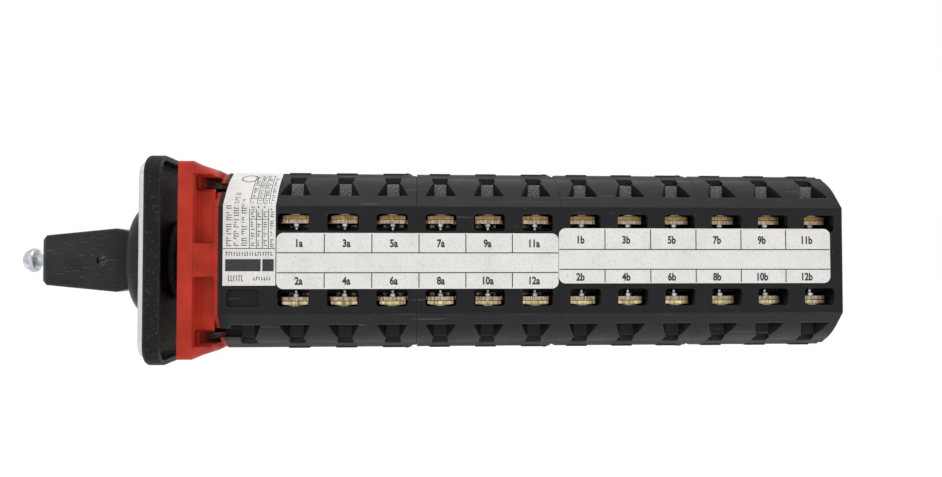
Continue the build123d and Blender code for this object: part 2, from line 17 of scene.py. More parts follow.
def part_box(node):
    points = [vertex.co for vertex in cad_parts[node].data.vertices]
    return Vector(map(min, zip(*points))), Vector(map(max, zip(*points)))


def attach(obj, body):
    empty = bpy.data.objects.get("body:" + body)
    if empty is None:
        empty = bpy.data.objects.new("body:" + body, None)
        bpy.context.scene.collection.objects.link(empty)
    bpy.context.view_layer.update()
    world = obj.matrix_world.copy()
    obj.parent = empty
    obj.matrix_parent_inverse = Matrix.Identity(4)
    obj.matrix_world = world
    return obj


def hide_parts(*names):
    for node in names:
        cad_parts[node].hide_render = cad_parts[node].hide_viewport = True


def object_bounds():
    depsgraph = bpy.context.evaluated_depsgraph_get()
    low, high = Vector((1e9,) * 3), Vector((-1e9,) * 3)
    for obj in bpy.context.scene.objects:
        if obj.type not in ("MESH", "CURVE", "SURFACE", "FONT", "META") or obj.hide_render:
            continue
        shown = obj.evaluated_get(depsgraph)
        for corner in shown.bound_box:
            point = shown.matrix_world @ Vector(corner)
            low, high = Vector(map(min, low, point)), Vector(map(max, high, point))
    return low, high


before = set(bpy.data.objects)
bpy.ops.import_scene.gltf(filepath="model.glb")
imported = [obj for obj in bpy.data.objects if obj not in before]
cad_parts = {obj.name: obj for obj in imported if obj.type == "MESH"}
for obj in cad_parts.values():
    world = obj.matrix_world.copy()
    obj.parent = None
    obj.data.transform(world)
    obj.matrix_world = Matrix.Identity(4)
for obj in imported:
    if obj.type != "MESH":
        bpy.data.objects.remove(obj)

bl_info = {
    "name": "Rotary Isolator Switch",
    "version": (1, 0, 0),
    "blender": (4, 5, 0),
    "location": "3D View > Sidebar > Switch",
    "description": "Finishes, labels and studio for a rotary isolator switch",
    "category": "Object",
}

MM = 0.001
CAD_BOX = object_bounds()
PITCH = 11.5
BLOCKS = 4
TERMINALS = 12
CLAMP_SCREW_R = 2.5


def low_high(node):
    """A node's corners in millimetres."""
    low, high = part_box(node)
    return np.array(low) / MM, np.array(high) / MM


HOUSING_LOW, HOUSING_HIGH = low_high("housing_1")
FLAT_Y = HOUSING_LOW[1]
LAST_X = low_high("terminal_screws_4")[1][0] - CLAMP_SCREW_R
TERMINAL_XS = LAST_X - PITCH * np.arange(TERMINALS)[::-1]
LATCH_X = TERMINAL_XS[0] - PITCH
SEAM_XS = [low_high(f"housing_{number}")[1][0] for number in range(1, BLOCKS)]


# ---------------------------------------------------------------- colour and nodes


def linear(code):
    """An sRGB hex code as linear red, green and blue: each channel through the standard transfer curve."""
    channels = [int(code[k:k + 2], 16) / 255 for k in (1, 3, 5)]
    return tuple(c / 12.92 if c <= 0.04045 else ((c + 0.055) / 1.055) ** 2.4 for c in channels)


def rgba(colour):
    """A colour property or a hex code, as the four numbers that a socket takes."""
    return (*(linear(colour) if isinstance(colour, str) else tuple(colour)[:3]), 1.0)


def add(tree, kind, inputs=None, **settings):
    """Adds a shader node and returns its outputs.

    Settings are the node's own choices. An input is a number, a colour or another node's output.
    """
    node = tree.nodes.new("ShaderNode" + kind)
    for name, value in settings.items():
        setattr(node, name, value)
    for name, value in (inputs or {}).items():
        if isinstance(value, bpy.types.NodeSocket):
            tree.links.new(value, node.inputs[name])
        else:
            node.inputs[name].default_value = value
    return node.outputs


# Places of the colour sockets on a Mix node set to RGBA
MIX_FACTOR, MIX_A, MIX_B, MIX_OUT = 0, 6, 7, 2

# Likeness of the true and the rounded normal on a flat and on a sharp edge
FLAT, EDGE = 0.99, 0.85

POLYAMIDE = {"IOR": 1.53, "Specular IOR Level": 0.18}
ACETAL = {"IOR": 1.48, "Subsurface Weight": 0.2, "Subsurface Scale": 0.4 * MM}
FILM = {"IOR": 1.5}
METAL = {"Metallic": 1.0}


def laid_over(tree, under, over, pattern, low=0.0, high=1.0, strength=1.0):
    """A colour laid over another: none where the pattern is low, as much as the strength where it is high."""
    cover = add(tree, "MapRange", {
        "Value": pattern, "From Min": low, "From Max": high, "To Min": 0.0, "To Max": strength,
    })["Result"]
    return add(tree, "Mix", {MIX_FACTOR: cover, MIX_A: under, MIX_B: over}, data_type="RGBA")[MIX_OUT]


def edges(tree, width_mm):
    """How alike the true normal and one rounded off at the edges are, and the rounded normal."""
    rounded = add(tree, "Bevel", {"Radius": width_mm * MM}, samples=6)["Normal"]
    true = add(tree, "NewGeometry")["Normal"]
    return add(tree, "VectorMath", {0: rounded, 1: true}, operation="DOT_PRODUCT")["Value"], rounded


def surface(tree, kind, colour, gloss, relief=None, rounded=None):
    """Shader inputs of one kind of material.

    Gloss is a pattern, its low and high, and the roughness at each. Relief is a height, its strength and its
    depth in millimetres, on the rounded normal where there is one.
    """
    pattern, low, high, at_low, at_high = gloss
    rough = add(tree, "MapRange", {
        "Value": pattern, "From Min": low, "From Max": high, "To Min": at_low, "To Max": at_high,
    })["Result"]
    inputs = {**kind, "Base Color": colour, "Roughness": rough}
    if relief:
        height, strength, depth_mm = relief
        bump = {"Strength": strength, "Distance": depth_mm * MM, "Height": height}
        if rounded is not None:
            bump["Normal"] = rounded
        inputs["Normal"] = add(tree, "Bump", bump)["Normal"]
    return inputs


def per_metre(size_mm):
    """Texture scale at which one feature is that many millimetres across."""
    return 1000.0 / size_mm


def new_material(recipe, colour):
    """A material whose shader inputs come from its recipe, which reads places in object coordinates."""
    material = bpy.data.materials.new(recipe.__name__)
    material.use_nodes = True
    tree = material.node_tree
    tree.nodes.clear()
    place = add(tree, "TexCoord")["Object"]
    shader = add(tree, "BsdfPrincipled", recipe(tree, place, colour))["BSDF"]
    add(tree, "OutputMaterial", {"Surface": shader})
    return material


# ---------------------------------------------------------------- finishes

# The real grain of moulded and rolled surfaces is under 0.1 mm. It is drawn at 0.12 to 0.55 mm so that it
# shows.


def glass_filled_polyamide(tree, place, colour):
    """Glass-filled polyamide, moulded: satin, faintly cloudy, with pale edges, dust and stray scratches."""
    clouds = add(tree, "TexNoise", {"Vector": place, "Scale": per_metre(6.0), "Detail": 5.0})[0]
    grain = add(tree, "TexNoise", {"Vector": place, "Scale": per_metre(0.35), "Detail": 3.0})[0]
    dust = add(tree, "TexVoronoi", {"Vector": place, "Scale": per_metre(2.4), "Randomness": 1.0})["Distance"]
    turned = add(tree, "Mapping", {"Vector": place, "Rotation": (0.3, 0.5, 0.6), "Scale": (0.04, 1, 1)})[0]
    scratches = add(tree, "TexNoise", {"Vector": turned, "Scale": per_metre(0.7), "Detail": 1.0})[0]
    alike, rounded = edges(tree, 0.35)
    cloudy = laid_over(tree, rgba(colour), rgba("#17171A"), clouds, 0.35, 0.7)
    edged = laid_over(tree, cloudy, rgba("#4A4A4C"), alike, FLAT, EDGE, 0.45)
    dusty = laid_over(tree, edged, rgba("#77777A"), dust, 0.05, 0.035, 0.6)
    lined = laid_over(tree, dusty, rgba("#55565A"), scratches, 0.72, 0.76, 0.5)
    return surface(tree, POLYAMIDE, lined, (clouds, 0.3, 0.7, 0.42, 0.56), (grain, 0.35, 0.05), rounded)


def spark_eroded_polyamide(tree, place, colour):
    """Polyamide from a coarsely spark-eroded mould: a pebbled black skin whose tops are painted paler as
    highlights.
    """
    pebbles = add(tree, "TexNoise", {"Vector": place, "Scale": per_metre(0.55), "Detail": 4.0})[0]
    pits = add(tree, "TexVoronoi", {"Vector": place, "Scale": per_metre(0.5)}, feature="SMOOTH_F1")[0]
    relief = add(tree, "Math", {0: pebbles, 1: pits}, operation="ADD")[0]
    alike, rounded = edges(tree, 0.5)
    # Painted highlight: the pebbles' tops are laid over in pale grey.
    flecked = laid_over(tree, rgba(colour), rgba("#48494B"), pebbles, 0.6, 0.72, 0.45)
    edged = laid_over(tree, flecked, rgba("#4C4C4E"), alike, FLAT, EDGE, 0.4)
    return surface(tree, POLYAMIDE, edged, (pebbles, 0.35, 0.65, 0.62, 0.45), (relief, 0.8, 0.12), rounded)


def handled_polyamide(tree, place, colour):
    """Satin polyamide that hands polish: dark grey with fine long scratches, shinier where it is rubbed."""
    along = add(tree, "Mapping", {"Vector": place, "Scale": (0.03, 1, 1), "Rotation": (0, 0.25, 0.15)})[0]
    scratches = add(tree, "TexNoise", {"Vector": along, "Scale": per_metre(0.3), "Detail": 2.0})[0]
    rubbed = add(tree, "TexNoise", {"Vector": place, "Scale": per_metre(7.0), "Detail": 3.0})[0]
    grain = add(tree, "TexNoise", {"Vector": place, "Scale": per_metre(0.25), "Detail": 2.0})[0]
    alike, rounded = edges(tree, 0.5)
    base = laid_over(tree, rgba(colour), rgba("#252527"), rubbed, 0.35, 0.7)
    scratched = laid_over(tree, base, rgba("#58585A"), scratches, 0.62, 0.7, 0.4)
    edged = laid_over(tree, scratched, rgba("#606062"), alike, FLAT, EDGE, 0.45)
    return surface(tree, POLYAMIDE, edged, (rubbed, 0.3, 0.7, 0.5, 0.36), (grain, 0.3, 0.04), rounded)


def signal_red_polyamide(tree, place, colour):
    """Signal-red polyamide, moulded: satin, slightly darker in the hollows of its flow marks."""
    flow = add(tree, "TexNoise", {"Vector": place, "Scale": per_metre(5.0), "Detail": 4.0})[0]
    grain = add(tree, "TexNoise", {"Vector": place, "Scale": per_metre(0.3), "Detail": 2.0})[0]
    alike, rounded = edges(tree, 0.4)
    base = laid_over(tree, rgba(colour), rgba("#96230F"), flow, 0.35, 0.7)
    edged = laid_over(tree, base, rgba("#C24A3A"), alike, FLAT, EDGE, 0.35)
    return surface(tree, POLYAMIDE, edged, (flow, 0.3, 0.7, 0.4, 0.52), (grain, 0.3, 0.04), rounded)


def cross_scored_polyamide(tree, place, colour):
    """Cross-scored moulded face: grey, with pale specks painted on as highlights on the tops of its fine
    crossing ridges.
    """
    specks = add(tree, "TexNoise", {"Vector": place, "Scale": per_metre(0.28), "Detail": 4.0})[0]
    # Painted highlight: pale specks over the grey.
    base = laid_over(tree, rgba(colour), rgba("#9A9A9C"), specks, 0.45, 0.68)
    return surface(tree, POLYAMIDE, base, (specks, 0.4, 0.7, 0.55, 0.35), (specks, 0.6, 0.06))


def moulded_rubber(tree, place, colour):
    """Moulded rubber: dull black with a chalky bloom."""
    bloom = add(tree, "TexNoise", {"Vector": place, "Scale": per_metre(2.0), "Detail": 4.0})[0]
    base = laid_over(tree, rgba(colour), rgba("#323232"), bloom, 0.45, 0.75)
    bump = add(tree, "Bump", {"Strength": 0.4, "Distance": 0.05 * MM, "Height": bloom})["Normal"]
    return {"Base Color": base, "Roughness": 0.8, "IOR": 1.5, "Normal": bump}


def satin_aluminium(tree, place, colour):
    """Satin-anodised aluminium sheet: fine grain all one way."""
    along = add(tree, "Mapping", {"Vector": place, "Scale": (1, 0.02, 1)})[0]
    grain = add(tree, "TexNoise", {"Vector": along, "Scale": per_metre(0.12), "Detail": 3.0})[0]
    base = laid_over(tree, rgba(colour), rgba("#B4B5B8"), grain, 0.3, 0.7)
    return surface(tree, METAL, base, (grain, 0.3, 0.7, 0.3, 0.42), (grain, 0.25, 0.01))


def zinc_plated_steel(tree, place, colour):
    """Bright zinc-plated steel: bluish silver with darker clouds and paler rubbed edges."""
    clouds = add(tree, "TexNoise", {"Vector": place, "Scale": per_metre(1.6), "Detail": 5.0})[0]
    fine = add(tree, "TexNoise", {"Vector": place, "Scale": per_metre(0.2), "Detail": 2.0})[0]
    alike, rounded = edges(tree, 0.2)
    base = laid_over(tree, rgba(colour), rgba("#8E9298"), clouds, 0.35, 0.7)
    edged = laid_over(tree, base, rgba("#E8EAEC"), alike, FLAT, EDGE, 0.5)
    return surface(tree, METAL, edged, (clouds, 0.3, 0.7, 0.22, 0.38), (fine, 0.3, 0.02), rounded)


def blackened_steel(tree, place, colour):
    """Blackened steel: dark oxide rubbed through to grey in spots."""
    spots = add(tree, "TexNoise", {"Vector": place, "Scale": per_metre(0.5), "Detail": 3.0})[0]
    base = laid_over(tree, rgba(colour), rgba("#8A8A8C"), spots, 0.5, 0.65)
    return surface(tree, METAL, base, (spots, 0.3, 0.7, 0.3, 0.5))


def drawn_spring_wire(tree, place, colour):
    """Drawn spring-steel wire: grey, with draw lines and a film of oil."""
    lines = add(tree, "TexNoise", {"Vector": place, "Scale": per_metre(0.4), "Detail": 4.0})[0]
    base = laid_over(tree, rgba(colour), rgba("#6C6D70"), lines)
    return surface(tree, METAL, base, (lines, 0.3, 0.7, 0.25, 0.4))


def moulded_acetal(tree, place, colour):
    """Natural acetal, moulded: waxy off-white that lets a little light in."""
    clouds = add(tree, "TexNoise", {"Vector": place, "Scale": per_metre(2.5), "Detail": 3.0})[0]
    base = laid_over(tree, rgba(colour), rgba("#E6E2D2"), clouds)
    return surface(tree, ACETAL, base, (clouds, 0.3, 0.7, 0.35, 0.5))


def rolled_copper(tree, place, colour):
    """Rolled copper strip: warm metal with roll lines and brown tarnish."""
    along = add(tree, "Mapping", {"Vector": place, "Scale": (1, 1, 0.05)})[0]
    lines = add(tree, "TexNoise", {"Vector": along, "Scale": per_metre(0.2), "Detail": 3.0})[0]
    base = laid_over(tree, rgba(colour), rgba("#8C5233"), lines)
    return surface(tree, METAL, base, (lines, 0.3, 0.7, 0.25, 0.45))


def nickel_plated_strip(tree, place, colour):
    """Nickel-plated strip, sheared: warm grey face and a streaked cut edge."""
    upright = add(tree, "Mapping", {"Vector": place, "Scale": (1, 1, 0.15)})[0]
    streaks = add(tree, "TexNoise", {"Vector": upright, "Scale": per_metre(0.35), "Detail": 4.0})[0]
    alike, rounded = edges(tree, 0.15)
    base = laid_over(tree, rgba(colour), rgba("#7E6A58"), streaks, 0.35, 0.65)
    edged = laid_over(tree, base, rgba("#EFE6D6"), alike, FLAT, EDGE, 0.5)
    return surface(tree, METAL, edged, (streaks, 0.3, 0.7, 0.28, 0.45), (streaks, 0.5, 0.03), rounded)


def stamped_brass(tree, place, colour):
    """Stamped brass: yellow with shear streaks and shiny edges, pale on the lower row of plates as painted
    light and darker on the upper row as painted shade.
    """
    upright = add(tree, "Mapping", {"Vector": place, "Scale": (1, 1, 0.12)})[0]
    streaks = add(tree, "TexNoise", {"Vector": upright, "Scale": per_metre(0.5), "Detail": 4.0})[0]
    alike, rounded = edges(tree, 0.18)
    # Painted light and shade by height: the lower row is pale as painted reflection, the upper row darker as
    # painted shade.
    height = add(tree, "SeparateXYZ", {"Vector": place})["Z"]
    plate = laid_over(tree, rgba("#FFF0B4"), rgba(colour), height, -2 * MM, 2 * MM)
    base = laid_over(tree, plate, rgba("#8A6A3A"), streaks, 0.38, 0.66, 0.8)
    edged = laid_over(tree, base, rgba("#FFF0B0"), alike, FLAT, EDGE, 0.6)
    return surface(tree, METAL, edged, (streaks, 0.3, 0.7, 0.24, 0.42), (streaks, 0.5, 0.03), rounded)


def label_film(tree, place, colour):
    """Matt label paper under film: warm off-white with fibre flecks and soft grey clouds."""
    fibres = add(tree, "TexNoise", {"Vector": place, "Scale": per_metre(0.4), "Detail": 3.0})[0]
    clouds = add(tree, "TexNoise", {"Vector": place, "Scale": per_metre(5.0), "Detail": 3.0})[0]
    clouded = laid_over(tree, rgba(colour), rgba("#CFCDCA"), clouds, 0.4, 0.7)
    flecked = laid_over(tree, clouded, rgba("#A5A3A0"), fibres, 0.56, 0.7, 0.6)
    return surface(tree, FILM, flecked, (fibres, 0.3, 0.7, 0.5, 0.62), (fibres, 0.25, 0.02))


def printing_ink(tree, place, colour):
    """Thermal-transfer print: matt near-black with a slightly broken, greyer coverage."""
    cover = add(tree, "TexNoise", {"Vector": place, "Scale": per_metre(0.25), "Detail": 2.0})[0]
    base = laid_over(tree, rgba(colour), rgba("#383534"), cover, 0.5, 0.7)
    return {"Base Color": base, "Roughness": 0.6, "IOR": 1.5}


def painted_floor(tree, place, colour):
    """Matt-painted board: white with a faint unevenness."""
    clouds = add(tree, "TexNoise", {"Vector": place, "Scale": per_metre(400.0), "Detail": 3.0})[0]
    base = laid_over(tree, rgba(colour), rgba("#FBFBFB"), clouds)
    return {
        "Base Color": base, "Roughness": 0.9, "IOR": 1.45,
        "Emission Color": rgba("#FFFFFF"), "Emission Strength": 0.08,
    }


# Each slot's recipe. A recipe gives its material its name, which must not be a slot's: the frame has those.
RECIPES = {
    "black_polyamide": glass_filled_polyamide,
    "black_textured": spark_eroded_polyamide,
    "black_satin": handled_polyamide,
    "red_polyamide": signal_red_polyamide,
    "rubber": moulded_rubber,
    "silver_sheet": satin_aluminium,
    "zinc_steel": zinc_plated_steel,
    "oxide": blackened_steel,
    "spring_steel": drawn_spring_wire,
    "natural_acetal": moulded_acetal,
    "copper": rolled_copper,
    "nickel_plate": nickel_plated_strip,
    "brass_plate": stamped_brass,
    "paper": label_film,
    "scored": cross_scored_polyamide,
    "ink": printing_ink,
    "floor": painted_floor,
}


def finish(slot):
    """The material of one finish, made once, in the colour that the panel gives it."""
    recipe = RECIPES[slot]
    colour = getattr(bpy.context.scene.switch_colours, slot)
    return bpy.data.materials.get(recipe.__name__) or new_material(recipe, colour)


def give_finish(nodes, slot):
    """Puts a finish on CAD nodes whose names start with one of the given words."""
    for name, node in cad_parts.items():
        if name.startswith(nodes):
            node.data.materials.clear()
            node.data.materials.append(finish(slot))


# ---------------------------------------------------------------- meshes


def grid_faces(rows, columns, wrap_rows=False, wrap_columns=False):
    """Quads of a grid of points, row by row; a wrapped side joins its last line to its first."""
    down, across = rows - (not wrap_rows), columns - (not wrap_columns)
    i, j = (index.ravel() for index in np.indices((down, across)))
    here, below, right = i * columns, (i + 1) % rows * columns, (j + 1) % columns
    return np.stack([here + j, below + j, below + right, here + right], axis=1)


def repeated(faces, count, copies):
    """The same faces for each of several copies that have `count` points each."""
    shift = np.arange(copies)[:, None, None] * count
    return (faces[None] + shift).reshape(-1, faces.shape[1])


def placed(name, mesh, slot):
    """A piece that rides on the housing and has one finish. Its mesh holds its place, in metres."""
    mesh.materials.clear()
    mesh.materials.append(finish(slot))
    piece = bpy.data.objects.new(name, mesh)
    bpy.context.scene.collection.objects.link(piece)
    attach(piece, "housing")
    return piece


def new_piece(name, points, faces, slot, smooth=False):
    """A piece from points in millimetres and faces, which may differ in their number of corners."""
    mesh = bpy.data.meshes.new(name)
    corners = faces.tolist() if isinstance(faces, np.ndarray) else faces
    mesh.from_pydata((np.reshape(points, (-1, 3)) * MM).tolist(), [], corners)
    mesh.validate()
    mesh.polygons.foreach_set("use_smooth", np.full(len(mesh.polygons), smooth))
    return placed(name, mesh, slot)


# Faces of a box whose corners are counted x fastest, then y, then z
BOX_FACES = np.array([[0, 2, 3, 1], [4, 5, 7, 6], [0, 1, 5, 4], [2, 6, 7, 3], [0, 4, 6, 2], [1, 3, 7, 5]])


def bars(lows, highs):
    """Points and quads of many upright bars between pairs of opposite corners."""
    lows, highs = np.asarray(lows, float), np.asarray(highs, float)
    corner = np.array([[k & 1, k >> 1 & 1, k >> 2 & 1] for k in range(8)], float)
    points = lows[:, None] + corner[None] * (highs - lows)[:, None]
    return points, repeated(BOX_FACES, 8, len(lows))


def rounded_outline(width, height, radius, per_corner=7):
    """Outline of a rounded rectangle: a circle whose four quarters are moved apart to the corners.

    Returns the corner centres and the unit directions, so that the outline is centre + radius x direction.
    """
    quarter = np.linspace(0, math.pi / 2, per_corner)
    angle = (quarter[None] + np.arange(4)[:, None] * math.pi / 2).ravel()
    signs = np.repeat([[1, 1], [-1, 1], [-1, -1], [1, -1]], per_corner, axis=0)
    centres = signs * [width / 2 - radius, height / 2 - radius]
    return centres, np.stack([np.cos(angle), np.sin(angle)], axis=1)


# The housing's half outline as points (y, z): half height of the flat side, shoulder, and rail up to the top
FLAT_HALF = 12.7
SHOULDER = ((-15.65, 15.3), (-12.5, 18.1), (-8.9, 20.15))
RAIL = ((-7.5, 20.96), (-6.6, 21.4), (0.0, 21.4))


def skin_path(steps=24):
    """Half outline of the housing above its near flat side, as points (y, z) and the length run at each.

    It goes up the flat side and over the bevel, follows the circle through the shoulder's three points, and
    ends on the flat top. The run is zero halfway up the flat side.
    """
    start, middle, end = (np.array(point) for point in SHOULDER)
    rows = 2 * np.array([middle - start, end - start])
    squares = np.array([middle @ middle - start @ start, end @ end - start @ start])
    centre = np.linalg.solve(rows, squares)
    first, last = (math.atan2(*(point - centre)[::-1]) for point in (start, end))
    turn = np.linspace(first, last, steps)
    arc = centre + np.linalg.norm(start - centre) * np.stack([np.cos(turn), np.sin(turn)], axis=1)
    path = np.vstack([[[FLAT_Y, -FLAT_HALF], [FLAT_Y, FLAT_HALF]], arc, RAIL])
    run = np.concatenate([[0], np.cumsum(np.linalg.norm(np.diff(path, axis=0), axis=1))])
    return path, run - FLAT_HALF


SKIN, SKIN_RUN = skin_path()
SKIN_SLOPE = np.gradient(SKIN, axis=0)
SKIN_OUT = np.stack([-SKIN_SLOPE[:, 1], SKIN_SLOPE[:, 0]], axis=1)
SKIN_OUT /= np.linalg.norm(SKIN_OUT, axis=1)[:, None]


def on_skin(x, run, height):
    """Points at x, a run up the housing's side from z = 0 and a height above its surface."""
    y, z, out_y, out_z = (np.interp(run, SKIN_RUN, column) for column in (*SKIN.T, *SKIN_OUT.T))
    return np.stack(np.broadcast_arrays(x, y + height * out_y, z + height * out_z), axis=-1)


PRINT_THICK = 0.03


def skin_bars(spans, height, samples=16):
    """Thin printed bars that follow the housing's skin.

    Each span is x low, x high, run low, run high. Its section, a flat rectangle, is carried along the run.
    """
    spans = np.asarray(spans, float)
    along = np.linspace(0, 1, samples)[None, :, None]
    run = spans[:, 2, None, None] + along * (spans[:, 3] - spans[:, 2])[:, None, None]
    x = spans[:, [0, 1, 1, 0]][:, None, :]
    level = height + np.array([0, 0, PRINT_THICK, PRINT_THICK])[None, None, :]
    points = on_skin(x + 0 * run, run + 0 * x, level + 0 * run)
    count = samples * 4
    caps = np.array([[0, 1, 2, 3], [count - 1, count - 2, count - 3, count - 4]])
    faces = np.vstack([grid_faces(samples, 4, wrap_columns=True)[:, ::-1], caps[:, ::-1]])
    return points, repeated(faces, count, len(spans))


# Turns of lettering from the plane that it is set in: upright on the near side, or on the dial's face
ON_NEAR_SIDE = Matrix.Rotation(math.pi / 2, 4, "X")
ON_DIAL = Matrix(((0, 0, -1, 0), (-1, 0, 0, 0), (0, 1, 0, 0), (0, 0, 0, 1)))


def lettering(name, words, height, turn, offset, narrow=1.0, depth=PRINT_THICK, curve_steps=4):
    """Words in one piece. Each is its text and its middle's x, y and z. The offset makes strokes bolder."""
    whole = bmesh.new()
    for text, *middle in words:
        curve = bpy.data.curves.new(name, "FONT")
        curve.body, curve.size, curve.offset = text, height, offset
        curve.align_x, curve.align_y = "CENTER", "CENTER"
        curve.extrude, curve.resolution_u = depth / 2, curve_steps
        holder = bpy.data.objects.new(name, curve)
        bpy.context.scene.collection.objects.link(holder)
        bpy.context.view_layer.update()
        word = bpy.data.meshes.new_from_object(holder)
        bpy.data.objects.remove(holder)
        word.transform(Matrix.Translation(middle) @ turn @ Matrix.Scale(narrow, 4, (1, 0, 0)))
        whole.from_mesh(word)
        bpy.data.meshes.remove(word)
    bmesh.ops.remove_doubles(whole, verts=whole.verts, dist=0.0001)
    mesh = bpy.data.meshes.new(name)
    whole.to_mesh(mesh)
    whole.free()
    mesh.transform(Matrix.Scale(MM, 4))
    return placed(name, mesh, "ink")


# ---------------------------------------------------------------- properties


def colour_property(name, code, description):
    """A colour that the user can change, from its sRGB hex code."""
    return bpy.props.FloatVectorProperty(
        name=name, description=description, default=linear(code), size=3, min=0, max=1, subtype="COLOR")


def length_property(name, millimetres, description):
    """A length that the user can change, kept in metres."""
    return bpy.props.FloatProperty(
        name=name, description=description, default=millimetres * MM, min=0, precision=5, unit="LENGTH",
        subtype="DISTANCE")


class SwitchColours(bpy.types.PropertyGroup):
    """Main colour of each finish."""

    black_polyamide: colour_property("Housing", "#0F0F11", "Glass-filled polyamide of the housings")
    black_textured: colour_property("Frame", "#0A0A0B", "Grained polyamide of the front frame")
    black_satin: colour_property("Handle", "#19191B", "Satin polyamide of the handle")
    red_polyamide: colour_property("Flange", "#AF2D1B", "Signal-red polyamide of the mounting flange")
    rubber: colour_property("Seal", "#202020", "Rubber of the panel seal")
    silver_sheet: colour_property("Dial", "#D6D7D9", "Satin aluminium of the dial plate")
    oxide: colour_property("Grub screw", "#3A3A3C", "Blackened steel of the grub screw")
    zinc_steel: colour_property("Screws", "#C9CCD0", "Zinc-plated steel of screws, nuts and shaft")
    spring_steel: colour_property("Springs", "#9A9B9E", "Spring steel of the springs")
    natural_acetal: colour_property("Cams", "#F0EDE2", "Natural acetal of cams, plungers and latch")
    copper: colour_property("Bridges", "#D08A60", "Rolled copper of the contact bridges")
    nickel_plate: colour_property("Contacts", "#CDBFA8", "Nickel plate of the fixed contacts")
    # The clamps' colour is the upper row's brass, darker than the lower row's as painted shade.
    brass_plate: colour_property("Clamps", "#B08F55", "Tarnished brass of the upper clamp plates")
    paper: colour_property("Labels", "#D6D4D1", "Label paper under film")
    scored: colour_property("Guide faces", "#48484A", "Cross-scored faces behind the screwdriver funnels")
    ink: colour_property("Print", "#1E1C1C", "Printing ink")
    floor: colour_property("Floor", "#F6F6F6", "Matt paint of the floor")


class SwitchSizes(bpy.types.PropertyGroup):
    """Sizes of the fine pieces."""

    rule: length_property("Rule width", 0.22, "Width of a printed rule")
    letters: length_property("Number height", 2.5, "Type size of the terminal numbers")
    label: length_property("Label thickness", 0.12, "Thickness of a label")
    lip: length_property("Window lip", 0.42, "Half width of the moulded lip round a window")
    ridge: length_property("Guide ridge", 0.45, "Spacing of the ridges on a guide face")
    floor_drop: length_property("Floor drop", 90.0, "How far the floor is below the switch")


# ---------------------------------------------------------------- pieces

# Windows of the flat sides: width, low and high edges and corner radius
WINDOW_W, WINDOW_LOW, WINDOW_HIGH, WINDOW_R = 7.8, 6.6, 11.1, 1.0

# A lip's section: its middle is this far past the window's corner radius and this deep, and it is this high
LIP_OUT, LIP_SUNK, LIP_HIGH = 0.12, 0.22, 0.3

# Rear wall of a screwdriver funnel: width, place in y, and the stretch in z that is scored, in the upper row
# only: the scored plates are lit copies, and the lower row's shaded walls get none
FUNNEL_W, FUNNEL_Y, SCORED_LOW, SCORED_HIGH = 3.1, 11.1, 14.25, 18.45

# A scored plate: margin beside it, its base above the wall, height of its ridges, and how far it is sunk
GUIDE_MARGIN, GUIDE_BASE, GUIDE_RIDGE, GUIDE_SUNK = 0.05, 0.05, 0.07, 0.02

# A locking bump: half sizes in x, y and z, its place before the seam and to each side, and how far it is sunk
BUMP_X, BUMP_Y, BUMP_Z, BUMP_BEFORE, BUMP_SIDE, BUMP_SUNK = 1.1, 1.6, 0.5, 2.4, 5.2, 0.25


def window_lips(name, side, xs, lip):
    """Rounded lips round the windows of one flat side.

    An elliptical section is carried round each window's outline, most of it sunk in the housing.
    """
    middle = (WINDOW_LOW + WINDOW_HIGH) / 2
    spots = np.array([(x, z) for x in xs for z in (middle, -middle)])
    centres, directions = rounded_outline(WINDOW_W, WINDOW_HIGH - WINDOW_LOW, WINDOW_R)
    turn = np.linspace(0, 2 * math.pi, 10, endpoint=False)
    reach = (WINDOW_R + LIP_OUT + lip * np.cos(turn))[None, :, None]
    flat = centres[:, None] + reach * directions[:, None]
    depth = side * (abs(FLAT_Y) - LIP_SUNK + LIP_HIGH * np.sin(turn))
    ring = np.stack([flat[..., 0], np.broadcast_to(depth, flat.shape[:2]), flat[..., 1]], axis=-1)
    shift = np.stack([spots[:, 0], 0 * spots[:, 0], spots[:, 1]], axis=1)
    rows, columns = ring.shape[:2]
    faces = repeated(grid_faces(rows, columns, True, True), rows * columns, len(spots))
    turned = faces if side > 0 else faces[:, ::-1]
    return new_piece(name, shift[:, None, None] + ring[None], turned, "black_polyamide", smooth=True)


